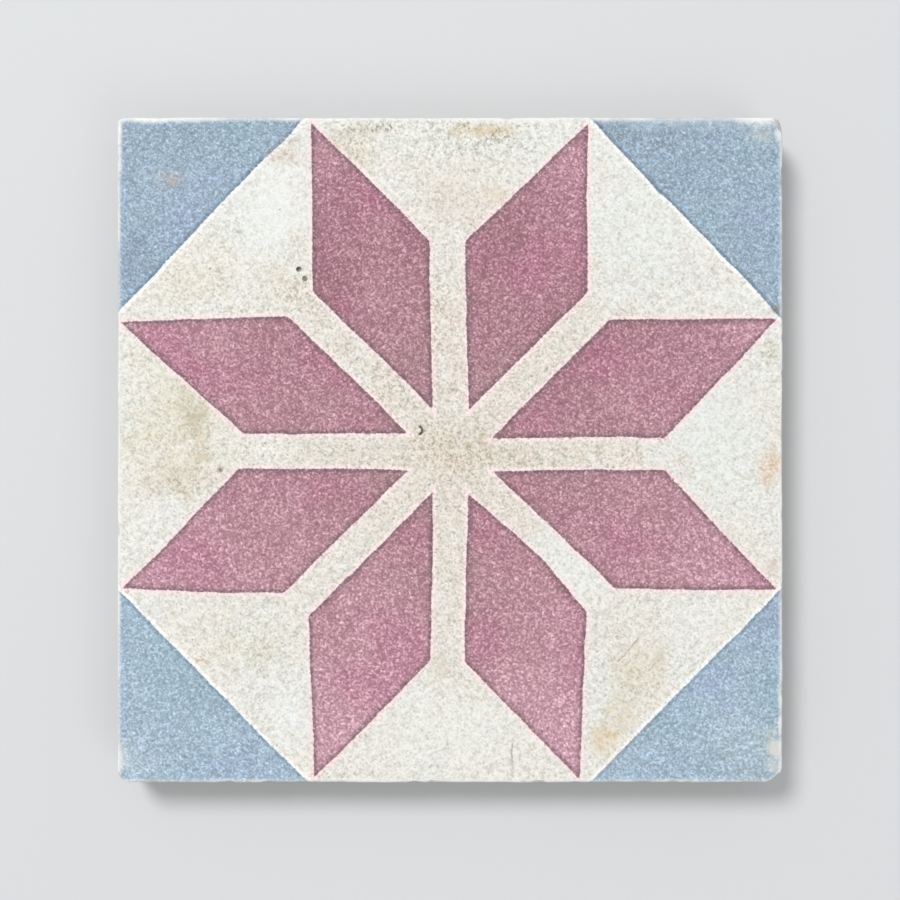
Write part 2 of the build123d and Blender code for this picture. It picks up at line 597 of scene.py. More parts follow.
def breakCorners(rings, worn):
    for corner in edgeWear["corners"]:
        leanX, leanY = corner["lean"]
        size = leanX * leanX + leanY * leanY
        for ring, points in enumerate(rings):
            for index, point in enumerate(points):
                reachX = point[0] * corner["signs"][0]
                reachY = point[1] * corner["signs"][1]
                if min(reachX, reachY) < tileHalf - edgeWear["cornerReach"]:
                    continue
                depth = (tileTop - point[2]) / corner["drop"]
                limit = (leanX + leanY) * tileHalf - corner["cut"] * max(0, 1 - depth)
                excess = leanX * reachX + leanY * reachY - limit
                excess += 0.35 * noise.noise(point * 0.9)
                if excess <= 0 or depth > 1:
                    continue
                point[0] -= corner["signs"][0] * leanX * excess / size
                point[1] -= corner["signs"][1] * leanY * excess / size
                worn[ring][index] = max(worn[ring][index], min(1, excess / 0.5))


def wearEdges(rings, worn, stations):
    draw = random.Random(edgeWear["seed"])
    for points in rings:
        for point in points:
            strayInwards(point)
    lowestChip = tileTop - edgeWear["chipDepth"]
    lowestScallop = tileTop - edgeWear["scallopDepth"]
    arrisRings = [k for k, (inset, height, _) in enumerate(stations) if inset < 4 and height > lowestChip]
    deepRings = [k for k, (inset, height, _) in enumerate(stations) if inset < 4 and height > lowestScallop]
    backRings = [k for k, (inset, height, _) in enumerate(stations) if inset < 5 and height < 5]
    for quarter, side in enumerate(("east", "north", "west", "south")):
        out = Vector((math.cos(quarter * math.pi / 2), math.sin(quarter * math.pi / 2), 0))
        for _ in range(edgeWear["scallops"][side]):
            middle = quarter * quarterSteps + draw.randrange(12, tileForm["sideSteps"] - 12)
            radius = draw.uniform(*edgeWear["scallopRadius"])
            bite = draw.uniform(*edgeWear["scallopBite"])
            x, y = ringPoint(middle, 0, tileForm["planRadius"])
            away = (out + Vector((0, 0, draw.uniform(*edgeWear["scallopTilt"])))).normalized()
            centre = Vector((x, y, tileTop - 0.5)) + away * (radius - bite)
            scoopChip(rings, worn, middle, centre, radius, deepRings)
        for _ in range(edgeWear["chips"][side]):
            middle = quarter * quarterSteps + draw.randrange(6, tileForm["sideSteps"] - 6)
            low, high = edgeWear["chipRadius"]
            radius = low + (high - low) * draw.random() ** 2.2
            x, y = ringPoint(middle, 0, tileForm["planRadius"])
            stand = radius * draw.uniform(*edgeWear["chipStand"])
            rise = draw.uniform(*edgeWear["chipTilt"])
            away = out * (1 - rise * 0.5) + Vector((0, 0, rise))
            centre = Vector((x, y, tileTop)) + away * stand * 0.9
            scoopChip(rings, worn, middle, centre, radius, arrisRings)
    for _ in range(edgeWear["backChips"]):
        middle = draw.randrange(ringSteps)
        x, y = ringPoint(middle, 0, tileForm["planRadius"])
        radius = draw.uniform(*edgeWear["backChipRadius"])
        centre = Vector((x, y, 0)) * (1 + 0.2 * radius / tileHalf) - Vector((0, 0, radius * 0.55))
        scoopChip(rings, worn, middle, centre, radius, backRings)
    breakCorners(rings, worn)


def staggeredPoints(middle, reach, pitch):
    # a staggered grid over a square
    rows = int(2 * reach / (pitch * 0.866))
    for row in range(rows + 1):
        y = -reach + 2 * reach * row / rows
        shift = 0.5 * pitch * (row % 2)
        for column in range(int((2 * reach - shift) / pitch) + 1):
            yield middle[0] - reach + shift + pitch * column, middle[1] + y


def fineSpots():
    # where the face needs closer points: at the corners of the patches and at small marks
    spots = []
    for patches in starPatches.values():
        for corners in patches.values():
            spots += [(corner, tileForm["cornerReach"], tileForm["cornerPitch"]) for corner in corners]
    for mark in stainAndHighlightMarks + speckAndHighlightMarks:
        reach = min(mark["reach"])
        if reach < 2:
            spots.append((mark["at"], 1.3 * reach, 0.35 * reach))
    return spots


def holePoints(hole):
    # rings of points that follow an air hole down
    yield hole["at"]
    rings = [(0.3, 7), (0.55, 12), (0.78, 18), (0.93, 24), (1.0, 24), (1.12, 24), (1.6, 14)]
    if hole["plug"]:
        rings = [(0.1 * step, 6 + 4 * step) for step in range(1, 12)] + [(1.4, 26), (1.8, 20)]
    for share, count in rings:
        count = count if hole["radius"] > 0.5 else count // 2
        for step in range(count):
            turn = 2 * math.pi * (step + 0.5 * (count % 5)) / count
            away = hole["radius"] * share
            yield hole["at"][0] + away * math.cos(turn), hole["at"][1] + away * math.sin(turn)


def linePoints(line):
    # three rows of points along a fine line
    for start, end in zip(line["points"], line["points"][1:]):
        length = math.dist(start, end)
        alongX = (end[0] - start[0]) / length
        alongY = (end[1] - start[1]) / length
        steps = int(length / tileForm["pointGap"])
        for step in range(steps):
            for side in (-1, 0, 1):
                away = side * line["width"]
                run = length * step / steps
                yield start[0] + alongX * run - alongY * away, start[1] + alongY * run + alongX * away


def insidePoints(reach, pitch, region):
    # the points inside a ring: rings at the air holes, closer points at fine spots, then a plain grid
    cornerGap = reach * 0.06     # the ring's round corners stay free
    points = []
    taken = set()

    def keepPoint(x, y, gap):
        # one point for each cell of this size, and none in an air hole
        cell = (round(x / gap), round(y / gap), gap)
        outside = max(abs(x), abs(y)) > reach or abs(x) + abs(y) > 2 * reach - cornerGap
        if cell in taken or outside:
            return
        if any(math.dist((x, y), hole["at"]) < 2 * hole["radius"] for hole in holes):
            return
        taken.add(cell)
        points.append(Vector((x, y)))

    holes = airHoles if region == "face" else []
    spots = fineSpots() if region == "face" else []
    for hole in holes:
        points += [Vector(spot) for spot in holePoints(hole)]
    if region == "face":
        for line in faceLines:
            for x, y in linePoints(line):
                keepPoint(x, y, 0.1)
    for middle, spotReach, spotPitch in spots:
        for x, y in staggeredPoints(middle, spotReach, spotPitch):
            keepPoint(x, y, 0.3)
    for x, y in staggeredPoints((0, 0), reach, pitch):
        near = any(max(abs(x - spot[0][0]), abs(y - spot[0][1])) < spot[1] for spot in spots)
        if not near:
            keepPoint(x, y, 0.31)
    return points


def fillInside(outline, pitch, region):
    # triangles inside a ring
    spots = [Vector((point[0], point[1])) for point in outline]
    reach = max(point[0] for point in outline) - 0.7 * pitch
    inner = insidePoints(reach, pitch, region)
    count = len(spots)
    border = [(k, (k + 1) % count) for k in range(count)]
    points, _, faces, origins, _, _ = delaunay_2d_cdt(spots + inner, border, [], 1, 1e-4)
    return points, faces, origins, count


bakeLayout = {
    "faceAt": (0.012, 0.012),
    "faceSize": 0.68,        # the face takes most of the map
    "sideAt": (0.012, 0.705),
    "sideStep": 0.072,
    "backAt": (0.705, 0.012),
    "backSize": 0.283,
}


def bakePlace(region, point, index):
    # where a corner of a face lies in the UV map
    if region == "face":
        startX, startY = bakeLayout["faceAt"]
        scale = bakeLayout["faceSize"] / (2 * tileHalf)
        return startX + (point[0] + tileHalf) * scale, startY + (point[1] + tileHalf) * scale
    if region == "back":
        startX, startY = bakeLayout["backAt"]
        scale = bakeLayout["backSize"] / (2 * tileHalf)
        return startX + (tileHalf - point[0]) * scale, startY + (point[1] + tileHalf) * scale
    quarter, step = index
    startX, startY = bakeLayout["sideAt"]
    scale = bakeLayout["faceSize"] / (2 * tileHalf)
    along = step / quarterSteps * bakeLayout["faceSize"]
    return startX + along, startY + quarter * bakeLayout["sideStep"] + point[2] * scale


def rubbedHighlightAt(point):
    # how much the arris at a point is painted pale: rubbed wear with a painted highlight on it
    sideName = "east" if point[0] > 0 else "west"
    if abs(point[1]) > abs(point[0]):
        sideName = "north" if point[1] > 0 else "south"
    inset = tileHalf - max(abs(point[0]), abs(point[1]))
    span = edgeWear["rubbedHighlightSpan"]
    patchy = 0.7 + 0.9 * noise.noise(Vector((point[0] / span, point[1] / span, 6.6)))
    near = smoothStep(edgeWear["rubbedHighlightReach"][sideName], 0.25, inset)
    return edgeWear["rubbedHighlightShare"][sideName] * near * min(1, max(edgeWear["rubbedHighlightLeast"], patchy))


def paintPoints(mesh, vertices, wornValues):
    # what the materials need to know at each point: distances, zones, stains with painted highlights and
    # painted hole shade, and wear with a painted highlight
    plain = (*toLinear(markShape["bareTone"])[:3], 0.0)
    far = drawnEdge["farAway"]
    layers = {
        "roseAway": [], "blueAway": [], "pasteTone": [], "creamGrain": [],
        "stainsAndPaintedLight": [], "specksAndHighlight": [], "rubbedHighlight": []}
    for point in vertices:
        seen = point[2] > tileTop - markShape["colourDepth"]
        nearFace = point[2] > tileTop - markShape["stainDepth"]
        rose, blue = drawnDistances(point[0], point[1]) if seen else (far, far)
        layers["roseAway"].append(rose)
        layers["blueAway"].append(blue)
        zones = blueZones if blue < markShape["blueMargin"] else pasteZones
        layers["pasteTone"].extend(marksAt(point[0], point[1], zones) if seen else plain)
        grain, _, _, share = marksAt(point[0], point[1], grainZones) if seen else plain
        layers["creamGrain"].append(cementFace["creamGrain"] * (1 - share) + grain * share)
        layers["stainsAndPaintedLight"].extend(stainsAndPaintedLightAt(point[0], point[1]) if nearFace else plain)
        layers["specksAndHighlight"].extend(marksAt(point[0], point[1], speckAndHighlightMarks) if nearFace else plain)
        # the pale arris is rubbed wear with a painted highlight on it
        layers["rubbedHighlight"].append(rubbedHighlightAt(point) if nearFace else 0.0)
    layers["broken"] = wornValues
    for name, values in layers.items():
        isColour = len(values) > len(vertices)
        attribute = mesh.attributes.new(name, "FLOAT_COLOR" if isColour else "FLOAT", "POINT")
        attribute.data.foreach_set("color" if isColour else "value", values)


def makeTileMesh():
    stations = tileStations()
    rings = []
    for inset, height, radius in stations:
        ring = []
        for index in range(ringSteps):
            x, y = ringPoint(index, inset, radius)
            ring.append(Vector((x, y, height)))
        rings.append(ring)
    worn = [[0.0] * ringSteps for _ in rings]
    wearEdges(rings, worn, stations)
    for ring, (inset, height, _) in enumerate(stations):
        for point in rings[ring]:
            if height == tileTop or (inset < 1 and height > tileTop - 1):
                point[2] -= tileTop - faceHeight(point[0], point[1])
            if height == 0 and inset > tileForm["backChamfer"]:
                point[2] += tileForm["rimSway"] * max(0, noise.noise(point / 2.2))
            if 0 < height <= tileForm["recessDepth"] and inset > tileForm["rimWidth"]:
                point[2] += tileForm["backSway"] * noise.noise(point / 3.0)

    vertices = [point for ring in rings for point in ring]
    wornValues = [value for ring in worn for value in ring]
    faces = []
    regions = []
    firstBack = next(k for k, (_, height, _) in enumerate(stations) if height < tileForm["backChamfer"])
    lowestArris = tileTop - tileForm["arrisRadius"]
    lastArris = max(k for k, (_, height, _) in enumerate(stations) if height >= lowestArris)
    for ring in range(len(rings) - 1):
        region = "face" if ring < lastArris else "side"
        region = "back" if ring >= firstBack - 1 else region
        for index in range(ringSteps):
            after = (index + 1) % ringSteps
            faces.append((
                ring * ringSteps + index,
                (ring + 1) * ringSteps + index,
                (ring + 1) * ringSteps + after,
                ring * ringSteps + after,
            ))
            quarter, step = divmod(index, quarterSteps)
            regions.append((region, quarter, step))

    for outline, start, pitch, region in (
        (rings[0], 0, tileForm["facePitch"], "face"),
        (rings[-1], (len(rings) - 1) * ringSteps, tileForm["backPitch"], "back"),
    ):
        points, triangles, origins, borderCount = fillInside(outline, pitch, region)
        names = {}
        for number, (point, sources) in enumerate(zip(points, origins)):
            onBorder = [source for source in sources if source < borderCount]
            if onBorder:
                names[number] = start + onBorder[0]
                continue
            names[number] = len(vertices)
            if region == "face":
                height = faceHeight(point[0], point[1])
            else:
                uneven = noise.noise(Vector((point[0] / 3, point[1] / 3, 0.5)))
                height = tileForm["recessDepth"] + tileForm["backSway"] * uneven
            vertices.append(Vector((point[0], point[1], height)))
            wornValues.append(0.0)
        for triangle in triangles:
            a, b, c = (points[k] for k in triangle)
            turnsLeft = (b[0] - a[0]) * (c[1] - a[1]) - (b[1] - a[1]) * (c[0] - a[0]) > 0
            corners = [names[k] for k in triangle]
            if turnsLeft != (region == "face"):
                corners.reverse()
            faces.append(tuple(corners))
            regions.append((region, 0, 0))

    mesh = bpy.data.meshes.new("cementTile")
    mesh.from_pydata([point * mm for point in vertices], [], faces)
    mesh.update()
    layer = mesh.uv_layers.new(name="OFBake")
    for face, (region, quarter, step) in zip(mesh.polygons, regions):
        for corner, loopIndex in enumerate(face.loop_indices):
            point = vertices[mesh.loops[loopIndex].vertex_index]
            ahead = step + (1 if corner in (2, 3) else 0)
            layer.data[loopIndex].uv = bakePlace(region, point, (quarter, ahead))
    paintPoints(mesh, vertices, wornValues)
    mesh.polygons.foreach_set("use_smooth", [True] * len(mesh.polygons))
    mesh.set_sharp_from_angle(angle=math.radians(tileForm["creaseAngle"]))
    return mesh, [region for region, _, _ in regions]


# Materials, and settings that many of their nodes share
ofColours = {"data_type": "RGBA"}
ofNumbers = {"data_type": "FLOAT"}
times = {"operation": "MULTIPLY"}
timesClamped = {"operation": "MULTIPLY", "use_clamp": True}
timesPlus = {"operation": "MULTIPLY_ADD"}
smoothly = {"interpolation_type": "SMOOTHSTEP"}


def addNode(tree, kind, settings=(), links=(), output=None):
    # adds a shader node, sets it, links or fills its sockets, and returns one output socket
    node = tree.nodes.new("ShaderNode" + kind)
    for name, value in dict(settings).items():
        setattr(node, name, value)
    for name, source in dict(links).items():
        socket = node.inputs[name] if isinstance(name, int) else next(
            entry for entry in node.inputs if entry.name == name and entry.enabled)
        if isinstance(source, bpy.types.NodeSocket):
            tree.links.new(source, socket)
        else:
            socket.default_value = source
    if output:
        return node.outputs[output]
    return next((entry for entry in node.outputs if entry.enabled), None)


def newMaterial(name):
    material = bpy.data.materials.new(name)
    material.use_nodes = True
    tree = material.node_tree
    tree.nodes.clear()
    where = addNode(tree, "TexCoord", {}, {}, "Object")
    place = addNode(tree, "VectorMath", {"operation": "SCALE"}, {0: where, "Scale": 1 / mm})
    return material, tree, place


cementFace = {
    "cream": "#ebe8e0",
    "creamCool": "#eaebe6",
    "creamGrain": 0.70,      # how much of the cream's grain shows outside its zones
    "creamWeb": "#cccabc",   # where marble powder shows through the white cement
    "roseTop": "#a0707d",
    "roseBottom": "#c599a5",
    "roseTips": "#cea0af",
    "tipsBand": (104.0, 66.0, 0.65),     # mm from the middle: full, gone, and the share
    "roseMiddle": "#a48084",
    "middleBand": (24.0, 62.0, 0.6),
    "roseMagenta": "#b3728c",
    "blueTop": "#98adbf",
    "blueBottom": "#a4bacb",
    "blueTeal": "#9ab4be",
    "blueViolet": "#9eadca",
    "besideRose": "#fae1e2",
    "besideBlue": "#fbfdfd",
    "insideRose": "#735f64",
    "roseEdges": ((-0.45, -1.3, 0.62), (-0.8, -2.6, 0.25)),   # the same, mm from its outline
    "insideBlue": "#647986",
    "blueEdge": (-0.4, -1.5, 0.75),
    "flecks": {
        "light": {"cream": "#ffffff", "blue": "#d8e5ee", "rose": "#e3b7c4"},
        "dark": {"cream": "#a9a18c", "blue": "#71869a", "rose": "#80525f"},
    },
    "grainAmount": {"cream": 0.28, "blue": 0.41, "rose": 0.50},
    "grainLean": {"cream": -0.35, "blue": 0.30, "rose": 0.50},   # dark dots below 0, light above
    "rubbedHighlight": ("#f4f4f2", 0.9),   # rubbed arrises are paler, and carry a painted highlight
    "broken": ("#dfd9ce", 0.6),   # and breaks show clean cement
    "frayed": 0.16,          # mm, how ragged a colour's edge is
    "fraySize": 0.88,        # mm
    "edgeBlend": 0.18,       # mm
    "lineWidth": 1.5,        # mm, the line that the divider's strip leaves on each side
    "cloudSize": 26.0,       # mm
    "mottleSize": 4.6,       # mm
    "webSize": 2.1,          # mm
    # mm, fine and coarse grains of marble powder, drawn about twice as coarse as they are, to show
    "grainSizes": (0.52, 0.90),
    "fleckRadius": 0.48,     # mm, of the largest
    "grainStir": 0.42,       # mm, how far the grains are pushed out of shape
    "relief": 0.09,          # mm
    "roughness": 0.74,
}

bodyMortar = {
    "paste": "#a39d92",
    "pasteLight": "#b7b1a6",
    "sandLight": "#d6cdbb",
    "sandDark": "#6f675c",
    "smear": "#bdb7ab",
    # painted shade inside the open pores
    "shadedPore": "#4f4a42",
    "grit": 1.25,            # mm, sharp sand
    "fineGrit": 0.7,         # mm
    "poreSpacing": 4.4,      # mm
    "cloudSize": 14.0,       # mm
    "smearWidth": 5.5,       # mm
    "layerDepth": 4.0,       # mm, how deep the colours go
    "layerWander": 1.5,      # mm, how uneven their lower edge is
    "layerBlend": 0.35,      # mm
    "sideRelief": 0.35,      # mm
    "sideRoughness": 0.86,
    "backRelief": 0.50,      # mm
    "backRoughness": 0.90,
}

cementIor = 1.5


def sharedPatterns(tree, place, flatness):
    # what the three pastes share: distances, clouds, mottle, web, zones, and the slope down the face
    noiseKind = {"noise_dimensions": flatness}
    turned = addNode(tree, "VectorRotate", {"rotation_type": "Z_AXIS"}, {"Vector": place, "Angle": 0.6})
    shared = {"place": place, "turned": turned}
    fray = addNode(tree, "TexNoise", noiseKind, {
        "Vector": turned, "Scale": 1 / cementFace["fraySize"], "Detail": 1.0}, "Fac")
    shared["fray"] = fray
    frayed = addNode(tree, "Math", timesPlus, {
        0: fray, 1: 2 * cementFace["frayed"], 2: -cementFace["frayed"]})
    blend = cementFace["edgeBlend"]
    for name in ("rose", "blue"):
        drawn = addNode(tree, "Attribute", {"attribute_name": name + "Away"}, {}, "Fac")
        shared[name + "Away"] = addNode(tree, "Math", {"operation": "ADD"}, {0: drawn, 1: frayed})
        shared[name + "Share"] = addNode(tree, "MapRange", smoothly, {
            "Value": shared[name + "Away"], "From Min": blend, "From Max": -blend})

    clouds = addNode(tree, "TexNoise", noiseKind, {
        "Vector": turned, "Scale": 1 / cementFace["cloudSize"], "Detail": 2.0}, "Color")
    clouds = addNode(tree, "SeparateColor", {}, {"Color": clouds})
    shared["clouds"] = clouds
    shared["drift"] = clouds.node.outputs["Green"]
    shared["mottle"] = addNode(tree, "TexNoise", noiseKind, {
        "Vector": turned, "Scale": 1 / cementFace["mottleSize"], "Detail": 3.0, "Roughness": 0.62}, "Fac")
    shared["web"] = addNode(tree, "TexNoise", noiseKind, {
        "Vector": turned, "Scale": 1 / cementFace["webSize"], "Detail": 2.0, "Roughness": 0.6}, "Fac")

    shared["patchy"] = addNode(tree, "Math", timesPlus, {0: shared["mottle"], 1: 2.0, 2: 0.0})
    zone = addNode(tree, "Attribute", {"attribute_name": "pasteTone"}, {}, "Alpha")
    shared["zone"] = addNode(tree, "Math", timesClamped, {0: zone, 1: shared["patchy"]})
    shared["zoneColour"] = addNode(tree, "Attribute", {"attribute_name": "pasteTone"}, {}, "Color")
    shared["creamGrain"] = addNode(tree, "Attribute", {"attribute_name": "creamGrain"}, {}, "Fac")

    across = addNode(tree, "SeparateXYZ", {}, {0: place}, "Y")
    slope = addNode(tree, "MapRange", {}, {"Value": across, "From Min": tileHalf, "From Max": -tileHalf})
    uneven = addNode(tree, "Math", timesPlus, {0: clouds, 1: 0.8, 2: -0.4})
    shared["slope"] = addNode(tree, "Math", {"operation": "ADD", "use_clamp": True}, {
        0: slope, 1: uneven})
    return shared


def creamPaste(tree, shared):
    # cooler and warmer clouds, zones, a fine web, and a pale line along the patches
    cool = addNode(tree, "MapRange", {}, {"Value": shared["clouds"], "From Min": 0.42, "From Max": 0.6})
    colour = addNode(tree, "Mix", ofColours, {
        "Factor": cool, "A": toLinear(cementFace["cream"]), "B": toLinear(cementFace["creamCool"])})
    colour = addNode(tree, "Mix", ofColours, {
        "Factor": shared["zone"], "A": colour, "B": shared["zoneColour"]})
    web = addNode(tree, "MapRange", {}, {"Value": shared["web"], "From Min": 0.48, "From Max": 0.72})
    web = addNode(tree, "Math", times, {0: web, 1: shared["creamGrain"]})
    colour = addNode(tree, "Mix", ofColours, {
        "Factor": web, "A": colour, "B": toLinear(cementFace["creamWeb"])})
    width = cementFace["lineWidth"]
    for distance, tone in (("roseAway", "besideRose"), ("blueAway", "besideBlue")):
        beside = addNode(tree, "MapRange", smoothly, {
            "Value": shared[distance], "From Min": width, "From Max": 0.4 * width, "To Max": 0.8})
        beside = addNode(tree, "Math", timesClamped, {0: beside, 1: shared["patchy"]})
        colour = addNode(tree, "Mix", ofColours, {
            "Factor": beside, "A": colour, "B": toLinear(cementFace[tone])})
    return colour


def rosePaste(tree, shared):
    # deeper at the top, paler towards the tips, duller in the middle, and dark along its edges
    fromMiddle = addNode(tree, "VectorMath", {"operation": "LENGTH"}, {0: shared["place"]}, "Value")
    colour = addNode(tree, "Mix", ofColours, {
        "Factor": shared["slope"],
        "A": toLinear(cementFace["roseTop"]), "B": toLinear(cementFace["roseBottom"])})
    stronger = addNode(tree, "Math", timesPlus, {0: shared["slope"], 1: 0.70, 2: 0.52})
    for tone, band in (("roseTips", "tipsBand"), ("roseMiddle", "middleBand")):
        near, far, share = cementFace[band]
        part = addNode(tree, "MapRange", smoothly, {
            "Value": fromMiddle, "From Min": far, "From Max": near, "To Max": share})
        part = addNode(tree, "Math", times, {0: part, 1: stronger})
        colour = addNode(tree, "Mix", ofColours, {
            "Factor": part, "A": colour, "B": toLinear(cementFace[tone])})
    magenta = addNode(tree, "MapRange", {}, {
        "Value": shared["drift"], "From Min": 0.48, "From Max": 0.68, "To Max": 0.45})
    colour = addNode(tree, "Mix", ofColours, {
        "Factor": magenta, "A": colour, "B": toLinear(cementFace["roseMagenta"])})
    for near, far, share in cementFace["roseEdges"]:
        inside = addNode(tree, "MapRange", smoothly, {
            "Value": shared["roseAway"], "From Min": far, "From Max": near, "To Max": share})
        colour = addNode(tree, "Mix", ofColours, {
            "Factor": inside, "A": colour, "B": toLinear(cementFace["insideRose"])})
    return colour


def bluePaste(tree, shared):
    # drifts between teal and violet, and is dark along its edges, most so at the top
    colour = addNode(tree, "Mix", ofColours, {
        "Factor": shared["slope"],
        "A": toLinear(cementFace["blueTop"]), "B": toLinear(cementFace["blueBottom"])})
    for low, high, tone in ((0.54, 0.74, "blueViolet"), (0.47, 0.30, "blueTeal")):
        drifting = addNode(tree, "MapRange", {}, {
            "Value": shared["drift"], "From Min": low, "From Max": high, "To Max": 0.5})
        colour = addNode(tree, "Mix", ofColours, {
            "Factor": drifting, "A": colour, "B": toLinear(cementFace[tone])})
    colour = addNode(tree, "Mix", ofColours, {
        "Factor": shared["zone"], "A": colour, "B": shared["zoneColour"]})
    near, far, share = cementFace["blueEdge"]
    inside = addNode(tree, "MapRange", smoothly, {
        "Value": shared["blueAway"], "From Min": far, "From Max": near, "To Max": share})
    upper = addNode(tree, "Math", timesPlus, {0: shared["slope"], 1: -0.55, 2: 1.0})
    inside = addNode(tree, "Math", timesClamped, {0: inside, 1: upper})
    return addNode(tree, "Mix", ofColours, {
        "Factor": inside, "A": colour, "B": toLinear(cementFace["insideBlue"])})


def addGrain(tree, shared, colour, flatness):
    # sugary grain of two sizes, and light and dark flecks among the coarse grains
    cellKind = {"voronoi_dimensions": flatness}
    fineSize, coarseSize = cementFace["grainSizes"]
    amount = addNode(tree, "Math", times, {
        0: shared["creamGrain"], 1: cementFace["grainAmount"]["cream"]})
    lean = cementFace["grainLean"]["cream"]
    for name in ("blue", "rose"):
        amount = addNode(tree, "Mix", ofNumbers, {
            "Factor": shared[name + "Share"], "A": amount, "B": cementFace["grainAmount"][name]})
        lean = addNode(tree, "Mix", ofNumbers, {
            "Factor": shared[name + "Share"], "A": lean, "B": cementFace["grainLean"][name]})

    stirred = addNode(tree, "VectorMath", {"operation": "MULTIPLY_ADD"}, {
        0: shared["fray"].node.outputs["Color"], 1: (cementFace["grainStir"],) * 3, 2: shared["turned"]})
    fine = addNode(tree, "TexVoronoi", cellKind, {"Vector": stirred, "Scale": 1 / fineSize}, "Color")
    fine = addNode(tree, "SeparateColor", {}, {"Color": fine})
    flecks = addNode(tree, "TexVoronoi", cellKind, {"Vector": stirred, "Scale": 1 / coarseSize})
    coarse = addNode(tree, "SeparateColor", {}, {"Color": flecks.node.outputs["Color"]})
    grain = addNode(tree, "Math", timesPlus, {0: shared["fray"], 1: 2.0, 2: -2.22})
    for part, weight in ((shared["mottle"], 0.25), (shared["web"], 0.35), (coarse, 0.7), (fine, 1.15)):
        grain = addNode(tree, "Math", timesPlus, {0: part, 1: weight, 2: grain})
    squared = addNode(tree, "Math", timesPlus, {0: grain, 1: grain, 2: -0.17})
    dotted = addNode(tree, "Math", timesPlus, {0: squared, 1: lean, 2: grain})
    value = addNode(tree, "Math", timesPlus, {0: dotted, 1: amount, 2: 1.0})
    paler = addNode(tree, "Math", timesPlus, {0: value, 1: -0.28, 2: 1.28})
    saturation = addNode(tree, "Mix", ofNumbers, {"Factor": shared["roseShare"], "A": 1.0, "B": paler})
    colour = addNode(tree, "HueSaturation", {}, {"Saturation": saturation, "Value": value, "Color": colour})

    spread = cementFace["fleckRadius"] / coarseSize
    ownSize = addNode(tree, "Math", timesPlus, {0: coarse.node.outputs["Blue"], 1: 0.7, 2: 0.3})
    scaled = addNode(tree, "Math", {"operation": "DIVIDE"}, {0: flecks, 1: ownSize})
    dot = addNode(tree, "MapRange", smoothly, {
        "Value": scaled, "From Min": spread, "From Max": 0.2 * spread, "To Max": 1.4})
    dot = addNode(tree, "Math", timesClamped, {0: dot, 1: amount})
    for kind, low, high in (("light", 0.50, 0.85), ("dark", 0.20, 0.02)):
        fleck = toLinear(cementFace["flecks"][kind]["cream"])
        for name in ("blue", "rose"):
            fleck = addNode(tree, "Mix", ofColours, {
                "Factor": shared[name + "Share"], "A": fleck,
                "B": toLinear(cementFace["flecks"][kind][name])})
        chosen = addNode(tree, "MapRange", {}, {
            "Value": coarse.node.outputs["Green"], "From Min": low, "From Max": high})
        chosen = addNode(tree, "Math", times, {0: chosen, 1: dot})
        colour = addNode(tree, "Mix", ofColours, {"Factor": chosen, "A": colour, "B": fleck})
    return colour, grain


def addMarks(tree, shared, colour, grain):
    # stains with ragged edges, painted arris highlights and painted shade in the air holes, and dirt that
    # only the grain has caught; rose hides most of them
    ragged = addNode(tree, "MapRange", {}, {
        "Value": shared["mottle"], "From Min": 0.34, "From Max": 0.58, "To Min": 0.35, "To Max": 1.15})
    specks = addNode(tree, "MapRange", smoothly, {"Value": grain, "From Min": 0.15, "From Max": -0.42})
    caught = addNode(tree, "MapRange", {}, {
        "Value": shared["web"], "From Min": 0.36, "From Max": 0.6, "To Min": 0.1, "To Max": 1.4})
    specks = addNode(tree, "Math", times, {0: specks, 1: caught})
    shown = addNode(tree, "Math", timesPlus, {0: shared["roseShare"], 1: -0.75, 2: 1.0})
    for name, part in (("stainsAndPaintedLight", ragged), ("specksAndHighlight", specks)):
        share = addNode(tree, "Attribute", {"attribute_name": name}, {}, "Alpha")
        share = addNode(tree, "Math", times, {0: share, 1: shown})
        share = addNode(tree, "Math", timesClamped, {0: share, 1: part})
        stain = addNode(tree, "Attribute", {"attribute_name": name}, {}, "Color")
        colour = addNode(tree, "Mix", ofColours, {"Factor": share, "A": colour, "B": stain})

    # rubbed arrises are paler, with a painted highlight on them, and breaks show clean cement
    for name in ("rubbedHighlight", "broken"):
        hexCode, share = cementFace[name]
        worn = addNode(tree, "Attribute", {"attribute_name": name}, {}, "Fac")
        worn = addNode(tree, "Math", timesClamped, {0: worn, 1: share})
        colour = addNode(tree, "Mix", ofColours, {"Factor": worn, "A": colour, "B": toLinear(hexCode)})
    return colour


def pastePattern(tree, place, flatness):
    # the three pigmented pastes side by side, with their grain and the marks on them
    shared = sharedPatterns(tree, place, flatness)
    colour = addNode(tree, "Mix", ofColours, {
        "Factor": shared["blueShare"], "A": creamPaste(tree, shared), "B": bluePaste(tree, shared)})
    colour = addNode(tree, "Mix", ofColours, {
        "Factor": shared["roseShare"], "A": colour, "B": rosePaste(tree, shared)})
    colour, grain = addGrain(tree, shared, colour, flatness)
    return addMarks(tree, shared, colour, grain), grain, shared["mottle"]


def makePigmentedCement():
    # Pigmented white cement with marble powder, poured in a divider and pressed: matt, sugary, cloudy
    material, tree, place = newMaterial("pigmentedCement")
    colour, grain, mottle = pastePattern(tree, place, "2D")
    relief = addNode(tree, "Math", timesPlus, {0: grain, 1: 0.5, 2: 0.5})
    bump = addNode(tree, "Bump", {}, {
        "Strength": 0.5, "Distance": cementFace["relief"] * mm, "Height": relief})
    dull = addNode(tree, "MapRange", {}, {
        "Value": mottle, "From Min": 0.3, "From Max": 0.7,
        "To Min": cementFace["roughness"] - 0.10, "To Max": cementFace["roughness"] + 0.12})
    surface = addNode(tree, "BsdfPrincipled", {}, {
        "Base Color": colour, "Roughness": dull, "Normal": bump, "IOR": cementIor})
    addNode(tree, "OutputMaterial", {}, {"Surface": surface})
    return material


